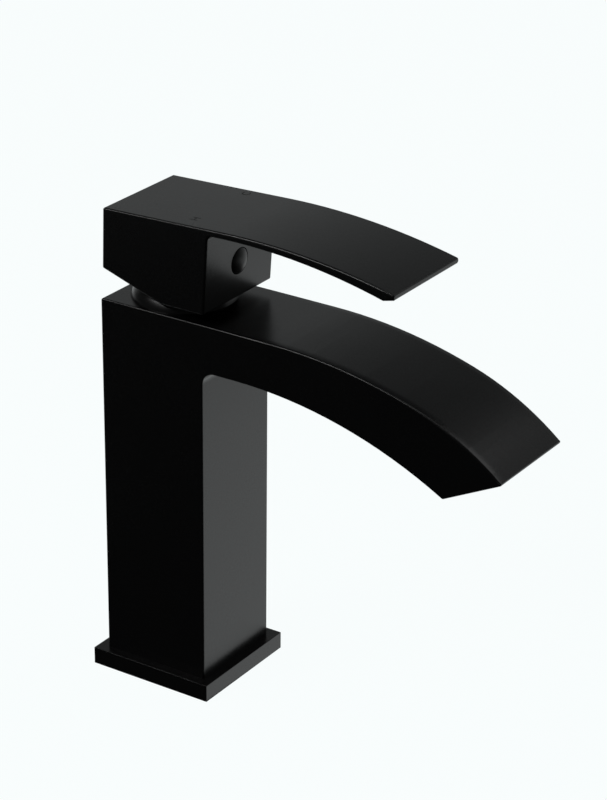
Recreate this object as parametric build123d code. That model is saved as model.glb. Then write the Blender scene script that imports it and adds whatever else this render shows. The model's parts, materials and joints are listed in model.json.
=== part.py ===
"""Single-lever basin mixer: a rectangular pillar with a flat arched spout, a lever on top and a
ceramic-disc cartridge inside.

Millimetres. X runs along the spout, Z is up. The origin is the tap-hole axis on the deck that the mixer
stands on. The lever is modelled in its lowest position, with the water shut off.
"""
from build123d import *
import math
import os

# Cartridge pocket, ring nut and pillar
pocket_radius = 17.6
nut_thread_step = 1.4  # the nut's thread stands out this far round the pocket
pillar_side_wall = 2.0  # brass left beside the nut's thread
pillar_extra_depth = 2.5  # the pillar is deeper along the spout than across it
body_height = 150.0
casting_wall = 3.2
edge_round = 0.6  # along the sides
corner_round = 0.8  # across, where two faces of a side view meet

# Base plate and seal on the deck
plate_margin = 3.9
plate_height = 6.7
spigot_radius = 16.5  # round foot of the pillar inside the plate
spigot_clearance = 0.2
seal_width = 4.4
seal_height = 2.2
seal_land = 1.9  # plate left between its bore and the seal's recess
seal_side_clearance = 0.2

# Spout
spout_root_height = 18.1
spout_top_straight = 51.3  # from the axis to where the top starts to bend
spout_top_radius = 190.0
nose_radius = 105.0
nose_turn = 17.8  # slope of the top where the tighter nose starts, in degrees
tip_turn = 40.2  # slope of the top at the tip, in degrees
spout_under_straight = 36.0
spout_under_radius = 177.0
root_fillet = 5.0
outlet_tilt = 26.5  # the outlet face looks this far forward of straight down, in degrees
duct_height = 6.0
duct_width = 20.0

# Water inlets and fixing stud in the foot
inlet_thread_radius = 4.5
inlet_x = 6.0
inlet_y = 8.0
stud_thread_radius = 3.4
stud_thread_length = 14.0
stud_x = -10.5
stud_floor = 2.0  # brass left above the blind stud hole
chamber_web = 3.2  # wall between the hot and the cold chamber
chamber_wall = 3.2
seat_thickness = 6.0

# Aerator
aerator_radius = 8.3
aerator_thread_length = 5.2
aerator_setback = 1.5  # the aerator sits this far behind the middle of the outlet face
insert_bore_radius = 6.8
insert_depth = 10.0
thread_clearance = 0.2
aerator_seal_height = 1.0
aerator_rim_inset = 0.3
aerator_wall = 1.5
insert_clearance = 0.15
insert_flange_width = 0.6
insert_flange_height = 1.2
grid_pitch = 2.1
grid_hole = 1.5
grid_depth = 3.0
key_slot_width = 2.0
key_slot_depth = 1.0

# Cartridge, from the nut's shoulder down
nut_thread_length = 5.0
housing_cap = 2.7
guide_flange_height = 2.9
carrier_block_height = 3.5
carrier_plate_height = 2.0
moving_disc_height = 3.5
fixed_disc_height = 3.5
gasket_height = 1.0
base_height = 8.0
base_flange_height = 5.0

# Cartridge, across
housing_band_clearance = 0.15
water_gap = 0.9  # ring gap that carries the mixed water round the housing
housing_wall = 1.4
housing_band_skirt = 0.8  # the band reaches this far below the housing's cap
housing_neck_radius = 13.5
housing_neck_height = 2.5
guide_neck_radius = 11.3
guide_neck_rise = 9.0  # top of the guide above the nut's shoulder
o_ring_section = 1.6
running_fit = 0.08
sliding_fit = 0.1
free_gap = 0.3

# Discs, ports and pegs
port_circle = 6.6
port_width = 3.2
port_middle = 42.5  # angle of each inlet from the spout's direction, in degrees
port_half_angle = 17.5
port_hole_radius = 2.8
outlet_port_radius = 4.0
outlet_port_x = -3.2
mixing_radius = 4.55
mixing_depth = 1.8
moving_disc_radius = 11.5
gasket_land = 2.2
port_seal_width = 1.4
port_seal_height = 1.0
disc_key_width = 4.0
disc_key_depth = 1.8
peg_radius = 2.0
peg_length = 3.0
peg_x = -9.0
peg_y = 8.5
peg_clearance = 0.1

# Stem, pin and motion
lift_range = 25.0
turn_range = 50.0  # to each side
pin_radius = 2.0
pin_rise = 5.0  # pin above the nut's shoulder
press_clearance = 0.02
stem_square = 9.0
stem_arm_depth = 6.0
stem_above_pin = 28.5
ball_radius = 3.0
ball_neck_radius = 2.2
ball_rise = 1.5  # ball centre above the carrier's plate, with the stem upright
ball_clearance = 0.15
carrier_block_size = 16.0
carrier_lug_width = 5.0
carrier_lug_depth = 1.6
carrier_lug_height = 1.4
stop_direction = 180.0  # the stop tab stands at the back
stop_tab_angle = 18.0
stop_tab_depth = 1.2
stop_spare_angle = 1.5
limit_ring_height = 2.8
limit_ring_width = 1.7

# Ring nut and collar
nut_clearance = 0.15
nut_neck_clearance = 0.3
nut_land_height = 2.4  # plain band above the body that carries the collar
nut_crown_height = 1.4
nut_crown_step = 1.6
nut_slot_count = 6
nut_slot_width = 4.0
collar_radius = 19.7
collar_foot = 2.7  # width of the rim that stands on the body
collar_height = 7.1
collar_dome_radius = 9.8  # of the dome's side view
collar_wall = 1.5
collar_fit = 0.5  # between the nut's band and the inside of the collar
collar_bore_clearance = 0.6

# Handle
handle_side_overlap = 0.4  # the handle stands out past the pillar's sides
hub_back = 20.3
hub_back_lean = 1.8
hub_front = 25.1
hub_front_lean = 3.6
hub_gap = 3.9  # bottom of the hub above the body, in front
hub_relief_gap = 12.1  # and at the back, so that the lever can lift
hub_relief_x = 4.4
lever_rise = 35.8  # top of the lever above the body, on the axis
lever_slope = 1.8
lever_straight = 31.0
lever_radius = 268.0
lever_reach = 103.5
blade_root = 2.5
blade_middle = 2.95
blade_tip = 4.2
tip_round = 0.8
hub_fillet = 2.0
hub_side_wall = 2.0
hub_end_wall = 2.4
hub_roof_drop = 3.6  # under the top on the axis
boss_wall = 3.4
boss_gap = 10.0  # bottom of the boss above the pin
boss_bite = 1.8  # the boss runs this far into the hub's roof
socket_clearance = 0.05
screw_radius = 3.0
screw_clearance = 0.05
screw_length = 8.0
screw_hex = 3.0
screw_hex_depth = 3.5
screw_from_pin = 22.8
screw_tube_wall = 2.6
plug_radius = 4.8
plug_length = 3.0
plug_dome = 1.8
plug_clearance = 0.05
plug_bevel = 0.3  # round the bore's mouth

# Values worked out from the sizes above
nut_thread_radius = pocket_radius + nut_thread_step
pillar_width = 2 * (nut_thread_radius + pillar_side_wall)
pillar_depth = pillar_width + pillar_extra_depth
half_depth = pillar_depth / 2
half_width = pillar_width / 2
spout_under = body_height - spout_root_height
chamber_floor = stud_thread_length + stud_floor

shoulder_z = body_height - nut_thread_length
cap_z = shoulder_z - housing_cap
guide_top_z = cap_z - sliding_fit
guide_bottom_z = guide_top_z - guide_flange_height
block_top_z = guide_bottom_z - free_gap
block_bottom_z = block_top_z - carrier_block_height
moving_top_z = block_bottom_z - carrier_plate_height
fixed_top_z = moving_top_z - moving_disc_height
gasket_top_z = fixed_top_z - fixed_disc_height
base_top_z = gasket_top_z - gasket_height
pocket_floor_z = base_top_z - base_height
base_step_z = pocket_floor_z + base_flange_height
pin_z = shoulder_z + pin_rise

housing_band_radius = pocket_radius - housing_band_clearance
housing_radius = pocket_radius - water_gap
housing_bore = housing_radius - housing_wall
band_height = housing_cap + housing_band_skirt
neck_top_z = shoulder_z + housing_neck_height

closed_lean = lift_range / 2
ball_reach = pin_z - (block_bottom_z + ball_rise)
half_stroke = ball_reach * math.sin(math.radians(closed_lean))
port_x = port_circle * math.cos(math.radians(port_middle))
port_y = port_circle * math.sin(math.radians(port_middle))
port_seal_radius = port_hole_radius + port_seal_width
fixed_disc_radius = housing_bore - free_gap

nut_bore = housing_neck_radius + nut_neck_clearance
collar_bore = collar_radius - collar_foot
nut_land_radius = collar_bore - collar_fit
hub_half_width = half_width + handle_side_overlap


def post(radius, low, high):
    """Upright cylinder on the axis between two heights."""
    return Pos(0, 0, low) * Cylinder(radius, high - low, align=(Align.CENTER, Align.CENTER, Align.MIN))


def ring(outer, inner, low, high):
    """Upright ring on the axis between two heights."""
    return post(outer, low, high) - post(inner, low, high)


def block(x, y, z):
    """Box from its two limits along each axis."""
    size = Box(x[1] - x[0], y[1] - y[0], z[1] - z[0], align=(Align.MIN, Align.MIN, Align.MIN))
    return Pos(x[0], y[0], z[0]) * size


def o_ring(radius, section, height):
    """Round rubber ring on the axis."""
    return Pos(0, 0, height) * Torus(radius, section / 2)


def sector(outer, inner, middle, half_angle, low, high):
    """Piece of an upright ring, between two angles round the axis."""
    start = middle - half_angle
    edge = CenterArc((0, 0), outer, start, 2 * half_angle)
    back = CenterArc((0, 0), inner, start, 2 * half_angle)
    outline = Curve() + [edge, back, Line(edge @ 0, back @ 0), Line(edge @ 1, back @ 1)]
    return Pos(0, 0, low) * extrude(make_face(outline), high - low)


def turned(degrees):
    """Unit vector in the X-Z plane that leans from straight up towards the spout."""
    return math.sin(math.radians(degrees)), math.cos(math.radians(degrees))


def moved(point, direction, distance):
    """Point in the X-Z plane at a distance along a direction."""
    return point[0] + distance * direction[0], point[1] + distance * direction[1]


def line_to_circle(start, direction, centre, radius):
    """First point where a line that starts outside a circle runs into it."""
    dx = start[0] - centre[0]
    dz = start[1] - centre[1]
    along = dx * direction[0] + dz * direction[1]
    inside = along * along - (dx * dx + dz * dz - radius * radius)
    step = -along - math.sqrt(inside)
    return moved(start, direction, step)


def arc_between(centre, radius, start, end):
    """Arc round a centre, from one point of the circle to another."""
    first = math.degrees(math.atan2(start[1] - centre[1], start[0] - centre[0]))
    last = math.degrees(math.atan2(end[1] - centre[1], end[0] - centre[0]))
    return CenterArc(centre, radius, first, last - first)


# The spout's side view: circle centres, the tip and the outlet face
top_centre = (spout_top_straight, body_height - spout_top_radius)
nose_start = moved(top_centre, turned(nose_turn), spout_top_radius)
nose_centre = moved(nose_start, turned(nose_turn), -nose_radius)
tip = moved(nose_centre, turned(tip_turn), nose_radius)
under_centre = (spout_under_straight, spout_under - spout_under_radius)
face_back = (-math.cos(math.radians(outlet_tilt)), -math.sin(math.radians(outlet_tilt)))
face_in = (-math.sin(math.radians(outlet_tilt)), math.cos(math.radians(outlet_tilt)))


def spout_end(inset, depth):
    """Top and bottom of the spout's end, inset from its skin and set back from the outlet face."""
    ahead = moved(tip, face_back, -spout_root_height)
    start = moved(ahead, face_in, depth)
    top = line_to_circle(start, face_back, nose_centre, nose_radius - inset)
    return top, line_to_circle(start, face_back, under_centre, spout_under_radius + inset)


heel = spout_end(0, 0)[1]
face_length = math.dist(tip, heel)


def spout_curves(inset, depth):
    """Edges of the spout's side view from the straight top round the tip to the straight underside."""
    top, bottom = spout_end(inset, depth)
    bend = moved(top_centre, turned(nose_turn), spout_top_radius - inset)
    straight_end = (spout_top_straight, body_height - inset)
    under_start = (spout_under_straight, spout_under + inset)
    return [
        arc_between(top_centre, spout_top_radius - inset, straight_end, bend),
        arc_between(nose_centre, nose_radius - inset, bend, top),
        Line(top, bottom),
        arc_between(under_centre, spout_under_radius + inset, bottom, under_start),
    ]


def body_side_view():
    """Side view of pillar and spout."""
    back_top = (-half_depth, body_height)
    root = (half_depth, spout_under)
    outline = Curve() + [
        Line((-half_depth, plate_height), back_top),
        Line(back_top, (spout_top_straight, body_height)),
        *spout_curves(0, 0),
        Line((spout_under_straight, spout_under), root),
        Line(root, (half_depth, plate_height)),
        Line((half_depth, plate_height), (-half_depth, plate_height)),
    ]
    corners = [(root, root_fillet), (back_top, corner_round), (tip, corner_round), (heel, corner_round)]
    return rounded(make_face(outline), corners)


def hollow_side_view(start):
    """Side view of the hollow inside the spout."""
    high = body_height - casting_wall
    low = spout_under + casting_wall
    outline = Curve() + [
        Line((start, high), (spout_top_straight, high)),
        *spout_curves(casting_wall, insert_depth),
        Line((spout_under_straight, low), (start, low)),
        Line((start, low), (start, high)),
    ]
    return make_face(outline)


def rounded(face, corners):
    """Side view with a round of the given radius at each listed corner."""
    for point, radius in corners:
        corner = face.vertices().sort_by_distance(point)[0]
        face = fillet(corner, radius)
    return face


def side_prism(face, half):
    """Side view drawn out to both sides of the middle plane."""
    return extrude(Plane.XZ * face, half, both=True)


# Frame on the outlet face: its Z runs into the spout along the aerator's axis
outlet_middle = face_length / 2 + aerator_setback
outlet_x, outlet_z = moved(tip, face_back, outlet_middle)
outlet = Plane(
    origin=(outlet_x, 0, outlet_z),
    x_dir=(-face_back[0], 0, -face_back[1]),
    z_dir=(face_in[0], 0, face_in[1]),
)
# Frame of the stem: its origin is the pivot pin and its Z runs up the leaning stem
stem_frame = Pos(0, 0, pin_z) * Rot(0, closed_lean, 0)


def make_body():
    skin = side_prism(body_side_view(), half_width)
    sides = skin.faces().sort_by(Axis.Y)
    edges = [e for e in sides[0].edges() + sides[-1].edges() if e.center().Z > plate_height + edge_round]
    body = fillet(edges, edge_round)
    body += post(spigot_radius, 0, plate_height)
    hollow_start = nut_thread_radius + casting_wall
    body -= side_prism(hollow_side_view(hollow_start), half_width - casting_wall)
    duct_floor = spout_under + casting_wall
    duct = (duct_floor, duct_floor + duct_height)
    body -= block((0, hollow_start + casting_wall), (-duct_width / 2, duct_width / 2), duct)
    body -= post(pocket_radius, pocket_floor_z, body_height)
    body -= post(nut_thread_radius, shoulder_z, body_height)
    chamber_roof = pocket_floor_z - seat_thickness
    chamber_x = half_depth - chamber_wall
    for side in (-1, 1):
        chamber_y = sorted((side * chamber_web / 2, side * (half_width - chamber_wall)))
        body -= block((-chamber_x, chamber_x), chamber_y, (chamber_floor, chamber_roof))
        body -= Pos(inlet_x, side * inlet_y, 0) * post(inlet_thread_radius, 0, chamber_floor)
        body -= Pos(port_x, side * port_y, 0) * post(port_hole_radius, chamber_roof, pocket_floor_z)
        peg_hole = post(peg_radius + peg_clearance, pocket_floor_z - peg_length - free_gap, pocket_floor_z)
        body -= Pos(peg_x, side * peg_y, 0) * peg_hole
    body -= Pos(stud_x, 0, 0) * post(stud_thread_radius, 0, stud_thread_length)
    body -= outlet * post(aerator_radius, 0, aerator_thread_length)
    body -= outlet * post(insert_bore_radius, aerator_thread_length, insert_depth + casting_wall)
    return body


def make_base_plate():
    length = pillar_depth + 2 * plate_margin
    width = pillar_width + 2 * plate_margin
    plate = Box(length, width, plate_height, align=(Align.CENTER, Align.CENTER, Align.MIN))
    plate = fillet(plate.edges().filter_by(Axis.Z) + plate.faces().sort_by(Axis.Z)[-1].edges(), edge_round)
    bore = spigot_radius + spigot_clearance
    recess = bore + seal_land
    plate -= post(bore, 0, plate_height)
    plate -= ring(recess + seal_width + 2 * seal_side_clearance, recess, 0, seal_height)
    return plate


def make_base_seal():
    inner = spigot_radius + spigot_clearance + seal_land + seal_side_clearance
    return ring(inner + seal_width, inner, 0, seal_height)


def make_cartridge_base():
    base = post(housing_radius, pocket_floor_z, base_step_z)
    base += post(housing_bore - sliding_fit, base_step_z, base_top_z)
    key_top = fixed_top_z - free_gap
    lug_reach = housing_bore - sliding_fit
    lugs = post(lug_reach, base_top_z, key_top)
    lugs -= block((-lug_reach, lug_reach), disc_key_span(), (base_top_z, key_top))
    lugs &= block((-disc_key_width / 2, disc_key_width / 2), (-lug_reach, lug_reach), (base_top_z, key_top))
    base += lugs
    outlet_floor = pocket_floor_z + port_seal_height + free_gap
    base -= Pos(outlet_port_x, 0, 0) * post(outlet_port_radius, outlet_floor, base_top_z)
    window = (-outlet_port_radius, outlet_port_radius)
    base -= block((-pocket_radius, outlet_port_x), window, (outlet_floor, base_step_z - free_gap))
    for side in (-1, 1):
        port = post(port_hole_radius, pocket_floor_z, base_top_z)
        port += post(port_seal_radius + sliding_fit, pocket_floor_z, pocket_floor_z + port_seal_height)
        base -= Pos(port_x, side * port_y, 0) * port
        base += Pos(peg_x, side * peg_y, 0) * post(peg_radius, pocket_floor_z - peg_length, pocket_floor_z)
    return base


def disc_key_span():
    """Width of the fixed disc between its two key notches."""
    reach = housing_bore - sliding_fit - disc_key_depth
    return -reach, reach


def make_inlet_port_seals():
    seal = ring(port_seal_radius, port_hole_radius, pocket_floor_z, pocket_floor_z + port_seal_height)
    return Compound(children=[Pos(port_x, side * port_y, 0) * seal for side in (-1, 1)])


def make_disc_gasket():
    gasket = Pos(outlet_port_x, 0, 0) * post(outlet_port_radius + gasket_land, base_top_z, gasket_top_z)
    for side in (-1, 1):
        land = post(port_hole_radius + gasket_land, base_top_z, gasket_top_z)
        gasket += Pos(port_x, side * port_y, 0) * land
    gasket -= Pos(outlet_port_x, 0, 0) * post(outlet_port_radius, base_top_z, gasket_top_z)
    for side in (-1, 1):
        gasket -= Pos(port_x, side * port_y, 0) * post(port_hole_radius, base_top_z, gasket_top_z)
    return gasket


def make_fixed_disc():
    disc = post(fixed_disc_radius, gasket_top_z, fixed_top_z)
    disc -= Pos(outlet_port_x, 0, 0) * post(outlet_port_radius, gasket_top_z, fixed_top_z)
    outer = port_circle + port_width / 2
    inner = port_circle - port_width / 2
    notch = disc_key_width / 2 + sliding_fit
    reach = disc_key_span()[1] - sliding_fit
    for side in (-1, 1):
        disc -= sector(outer, inner, side * port_middle, port_half_angle, gasket_top_z, fixed_top_z)
        key = sorted((side * reach, side * housing_bore))
        disc -= block((-notch, notch), key, (gasket_top_z, fixed_top_z))
    return disc


def lug_span(side, clearance):
    """Limits across the carrier's lug on one side, where it grips the moving disc."""
    outer = moving_disc_radius + clearance
    inner = moving_disc_radius - carrier_lug_depth - clearance
    return sorted((side * inner, side * outer))


def make_moving_disc():
    disc = post(moving_disc_radius, fixed_top_z, moving_top_z)
    disc -= post(mixing_radius, fixed_top_z, fixed_top_z + mixing_depth)
    notch = carrier_lug_width / 2 + sliding_fit
    for side in (-1, 1):
        low = moving_top_z - carrier_lug_height - sliding_fit
        disc -= block((-notch, notch), lug_span(side, sliding_fit), (low, moving_top_z))
    return Pos(-half_stroke, 0, 0) * disc


def make_disc_carrier():
    carrier = post(moving_disc_radius, moving_top_z, block_bottom_z)
    half = carrier_block_size / 2
    carrier += block((-half, half), (-half, half), (block_bottom_z, block_top_z))
    lug = carrier_lug_width / 2
    for side in (-1, 1):
        carrier += block((-lug, lug), lug_span(side, 0), (moving_top_z - carrier_lug_height, moving_top_z))
    carrier &= post(moving_disc_radius, moving_top_z - carrier_lug_height, block_top_z)
    carrier -= post(ball_radius + ball_clearance, moving_top_z, block_top_z)
    return Pos(-half_stroke, 0, 0) * carrier


def make_cartridge_housing():
    housing = post(housing_radius, base_step_z, shoulder_z)
    housing += post(housing_band_radius, shoulder_z - band_height, shoulder_z)
    housing += post(housing_neck_radius, shoulder_z, neck_top_z)
    housing -= post(housing_bore, base_step_z, cap_z)
    housing -= post(guide_neck_radius + running_fit, cap_z, neck_top_z)
    middle = o_ring_height()
    groove = (middle - o_ring_section / 2, middle + o_ring_section / 2)
    housing -= ring(pocket_radius, pocket_radius - o_ring_section, *groove)
    return housing


def o_ring_height():
    """Middle of the housing's o-ring, inside the solid cap."""
    return shoulder_z - housing_cap / 2


def make_housing_o_ring():
    return o_ring(pocket_radius - o_ring_section / 2, o_ring_section, o_ring_height())


def make_turning_guide():
    guide = post(housing_bore - free_gap, guide_bottom_z, guide_top_z)
    rail_bottom = block_bottom_z + free_gap
    rails = post(housing_bore - free_gap, rail_bottom, guide_bottom_z)
    channel = carrier_block_size / 2 + sliding_fit
    rails -= block((-pocket_radius, pocket_radius), (-channel, channel), (rail_bottom, guide_bottom_z))
    guide += rails
    guide += post(guide_neck_radius, guide_top_z, shoulder_z + guide_neck_rise)
    above = leaning_half(stem_square / 2, shoulder_z + guide_neck_rise - pin_z)
    below = leaning_half(stem_arm_depth / 2, pin_z - guide_bottom_z)
    slot_x = max(above, below) + free_gap
    slot_y = stem_square / 2 + sliding_fit
    guide -= block((-slot_x, slot_x), (-slot_y, slot_y), (guide_bottom_z, shoulder_z + guide_neck_rise))
    guide -= pin_hole(pin_radius + press_clearance, guide_neck_radius)
    groove = guide_neck_radius - stop_tab_depth - free_gap
    half_angle = turn_range + stop_tab_angle / 2 + stop_spare_angle
    limit_top = neck_top_z + limit_ring_height
    low = neck_top_z - free_gap
    guide -= sector(housing_neck_radius, groove, stop_direction, half_angle, low, limit_top + free_gap)
    return guide


def leaning_half(half, distance):
    """Half the length that the leaning stem takes up, at a distance from the pin."""
    lean = math.radians(closed_lean)
    return half / math.cos(lean) + distance * math.tan(lean)


def pin_hole(radius, half_length):
    """Cylinder across the stem, on the pivot axis."""
    return Pos(0, 0, pin_z) * Rot(90, 0, 0) * Cylinder(radius, 2 * half_length)


def make_stem_pin():
    return pin_hole(pin_radius, guide_neck_radius - free_gap)


def make_limit_ring():
    inner = guide_neck_radius + free_gap
    top = neck_top_z + limit_ring_height
    limit = ring(inner + limit_ring_width, inner, neck_top_z, top)
    tab_end = guide_neck_radius - stop_tab_depth
    return limit + sector(inner + free_gap, tab_end, stop_direction, stop_tab_angle / 2, neck_top_z, top)


def make_cartridge_stem():
    half = stem_square / 2
    arm = stem_arm_depth / 2
    stem = block((-half, half), (-half, half), (0, stem_above_pin))
    stem = chamfer(stem.faces().sort_by(Axis.Z)[-1].edges(), edge_round)
    arm_end = -(ball_reach - ball_radius - free_gap)
    stem += Rot(90, 0, 0) * Cylinder(half, stem_square)
    stem += block((-arm, arm), (-half, half), (arm_end, 0))
    stem += post(ball_neck_radius, -ball_reach, arm_end)
    stem += Pos(0, 0, -ball_reach) * Sphere(ball_radius)
    stem -= Rot(90, 0, 0) * Cylinder(pin_radius + running_fit, stem_square)
    return stem_frame * stem


def make_cartridge_nut():
    land_top = body_height + nut_land_height
    crown_top = land_top + nut_crown_height
    nut = post(nut_thread_radius - nut_clearance, shoulder_z, body_height)
    nut += post(nut_land_radius, body_height, land_top)
    nut += post(nut_land_radius - nut_crown_step, land_top, crown_top)
    nut -= post(nut_bore, shoulder_z, crown_top)
    middle = body_height + nut_land_height / 2
    groove = (middle - o_ring_section / 2, middle + o_ring_section / 2)
    nut -= ring(collar_bore, collar_bore - o_ring_section, *groove)
    slot = block((0, nut_thread_radius), (-nut_slot_width / 2, nut_slot_width / 2), (land_top, crown_top))
    for number in range(nut_slot_count):
        nut -= Rot(0, 0, number * 360 / nut_slot_count) * slot
    return nut


def make_collar_o_ring():
    return o_ring(collar_bore - o_ring_section / 2, o_ring_section, body_height + nut_land_height / 2)


def dome(radius, low, crown_z, bore):
    """Solid of a low dome, from a circle at its foot up to its bore."""
    outline = Curve() + [
        Line((0, low), (radius, low)),
        RadiusArc((radius, low), (bore, crown_z), -collar_dome_radius),
        Line((bore, crown_z), (0, crown_z)),
        Line((0, crown_z), (0, low)),
    ]
    return revolve(Plane.XZ * make_face(outline), Axis.Z)


def make_dome_collar():
    bore = guide_neck_radius + collar_bore_clearance
    crown_z = body_height + collar_height
    seat_z = body_height + nut_land_height + free_gap
    collar = dome(collar_radius, body_height, crown_z, bore)
    collar -= post(collar_bore, body_height, seat_z)
    collar -= dome(collar_bore, seat_z, crown_z - collar_wall, bore)
    return collar - post(bore, body_height, crown_z)


# The handle's side view
hub_bottom_z = body_height + hub_gap
hub_relief_z = body_height + hub_relief_gap
lever_zero_z = body_height + lever_rise
hub_roof_z = lever_zero_z - hub_roof_drop
slope = math.radians(lever_slope)
lever_bend = (lever_straight, lever_zero_z + lever_straight * math.tan(slope))
lever_centre = (
    lever_bend[0] + lever_radius * math.sin(slope),
    lever_bend[1] - lever_radius * math.cos(slope),
)


def lever_top(x):
    """Height of the handle's top: a rising straight that turns into an arch."""
    if x < lever_straight:
        return lever_zero_z + x * math.tan(slope)
    return lever_centre[1] + math.sqrt(lever_radius**2 - (x - lever_centre[0]) ** 2)


def hub_front_x(z, inset):
    """Front of the hub at a height, or a wall's thickness behind it."""
    return hub_front - inset - (lever_zero_z - z) * math.tan(math.radians(hub_front_lean))


def hub_back_x(z, inset):
    """Back of the hub at a height, or a wall's thickness in front of it."""
    return -hub_back + inset - (lever_zero_z - z) * math.tan(math.radians(hub_back_lean))


def handle_side_view():
    """Side view of hub and lever."""
    back_top_z = lever_top(-hub_back)
    back_top = (hub_back_x(back_top_z, 0), back_top_z)
    back_bottom = (hub_back_x(hub_relief_z, 0), hub_relief_z)
    front_bottom = (hub_front_x(hub_bottom_z, 0), hub_bottom_z)
    tip_top = (lever_reach, lever_top(lever_reach))
    cut = math.tan(math.radians(outlet_tilt))
    fall = -(lever_reach - lever_centre[0]) / (tip_top[1] - lever_centre[1])
    tip_back = blade_tip / (cut - fall)
    tip_bottom = (lever_reach - tip_back, tip_top[1] - tip_back * cut)
    root_z = lever_top(hub_front) - blade_root
    root = (hub_front_x(root_z, 0), root_z)
    middle_x = (root[0] + tip_bottom[0]) / 2
    middle = (middle_x, lever_top(middle_x) - blade_middle)
    outline = Curve() + [
        Line(back_bottom, back_top),
        Line(back_top, lever_bend),
        arc_between(lever_centre, lever_radius, lever_bend, tip_top),
        Line(tip_top, tip_bottom),
        ThreePointArc(tip_bottom, middle, root),
        Line(root, front_bottom),
        Line(front_bottom, (hub_relief_x, hub_bottom_z)),
        Line((hub_relief_x, hub_bottom_z), back_bottom),
    ]
    corners = [(root, hub_fillet), (tip_top, tip_round)]
    corners += [(point, corner_round) for point in (back_top, tip_bottom, front_bottom, back_bottom)]
    return rounded(make_face(outline), corners)


# Frame of the handle's screw: its Z runs out of the hub along the screw
screw_frame = stem_frame * Pos(0, 0, screw_from_pin) * Rot(0, 90, 0)
lean_sine, lean_cosine = turned(closed_lean)
screw_root_x = screw_from_pin * lean_sine
screw_root_z = pin_z + screw_from_pin * lean_cosine
face_lean = math.radians(hub_front_lean)
screw_lean = math.radians(closed_lean)
# Distance from the stem's axis to the hub's front along the screw
screw_to_face = (hub_front_x(screw_root_z, 0) - screw_root_x) / (
    math.cos(screw_lean) + math.sin(screw_lean) * math.tan(face_lean)
)
# Frame of the plug, where the screw's axis meets the hub's front: its Z stands square to that face
plug_x = screw_root_x + screw_to_face * math.cos(screw_lean)
plug_z = screw_root_z - screw_to_face * math.sin(screw_lean)
plug_frame = Pos(plug_x, 0, plug_z) * Rot(0, 90 + hub_front_lean, 0)


def make_handle():
    shell = side_prism(handle_side_view(), hub_half_width)
    sides = shell.faces().sort_by(Axis.Y)
    handle = fillet(sides[0].edges() + sides[-1].edges(), edge_round)
    cavity = Polyline(
        (hub_back_x(body_height, hub_end_wall), body_height),
        (hub_front_x(body_height, hub_end_wall), body_height),
        (hub_front_x(hub_roof_z, hub_end_wall), hub_roof_z),
        (hub_back_x(hub_roof_z, hub_end_wall), hub_roof_z),
        close=True,
    )
    hollow = side_prism(make_face(cavity), hub_half_width - hub_side_wall)
    socket_half = stem_square / 2 + socket_clearance
    boss_half = socket_half + boss_wall
    boss_top_z = hub_roof_z + boss_bite
    boss_top = (boss_top_z - pin_z + boss_half * lean_sine) / lean_cosine
    boss = stem_frame * block((-boss_half, boss_half), (-boss_half, boss_half), (boss_gap, boss_top))
    boss &= post(hub_half_width, pin_z, boss_top_z)
    tube = screw_frame * post(plug_radius + screw_tube_wall, socket_half, screw_to_face)
    handle = handle - hollow + boss + (tube & hollow)
    socket = (-socket_half, socket_half)
    handle -= stem_frame * block(socket, socket, (boss_gap, stem_above_pin + free_gap))
    handle -= screw_frame * post(screw_radius + screw_clearance, 0, screw_to_face)
    plug_bore = plug_radius + plug_clearance
    handle -= plug_frame * post(plug_bore, -plug_length, plug_length)
    return handle - plug_frame * Cone(plug_bore, plug_bore + 2 * plug_bevel, 2 * plug_bevel)


def make_handle_screw():
    tip_at = stem_square / 2 + socket_clearance
    screw = post(screw_radius, tip_at, tip_at + screw_length)
    screw = chamfer(screw.edges().filter_by(GeomType.CIRCLE), edge_round)
    hexagon = extrude(RegularPolygon(screw_hex / 2, 6, major_radius=False), screw_hex_depth)
    return screw_frame * (screw - Pos(0, 0, tip_at + screw_length - screw_hex_depth) * hexagon)


def make_handle_plug():
    plug = post(plug_radius, -plug_length, plug_dome)
    cap_radius = (plug_radius**2 + plug_dome**2) / (2 * plug_dome)
    return plug_frame * (plug & Pos(0, 0, plug_dome - cap_radius) * Sphere(cap_radius))


# The aerator, in the outlet's own frame
aerator_top = aerator_thread_length - aerator_seal_height
insert_radius = insert_bore_radius - insert_clearance - insert_flange_width / 2


def make_aerator_housing():
    outer = aerator_radius - thread_clearance
    flange = insert_radius + insert_flange_width + insert_clearance
    shell = ring(outer, insert_radius + insert_clearance, aerator_rim_inset, aerator_top)
    shell -= post(flange, aerator_top - insert_flange_height, aerator_top)
    half = key_slot_width / 2
    rim = (aerator_rim_inset, aerator_rim_inset + key_slot_depth)
    shell -= block((-aerator_radius, aerator_radius), (-half, half), rim)
    shell -= block((-half, half), (-aerator_radius, aerator_radius), rim)
    return outlet * shell


def make_aerator_seal():
    inner = insert_radius + insert_clearance
    return outlet * ring(aerator_radius - thread_clearance, inner, aerator_top, aerator_thread_length)


def make_aerator_insert():
    face = aerator_rim_inset + key_slot_depth
    insert = post(insert_radius, face, insert_depth)
    insert += post(insert_radius + insert_flange_width, aerator_top - insert_flange_height, aerator_top)
    insert -= post(insert_radius - aerator_wall, face + grid_depth, insert_depth)
    reach = insert_radius - aerator_wall - grid_hole / 2
    count = int(2 * reach / grid_pitch) + 1
    hole = block((-grid_hole / 2, grid_hole / 2), (-grid_hole / 2, grid_hole / 2), (face, face + grid_depth))
    for spot in GridLocations(grid_pitch, grid_pitch, count, count):
        if spot.position.length <= reach:
            insert -= spot * hole
    return outlet * insert


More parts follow.
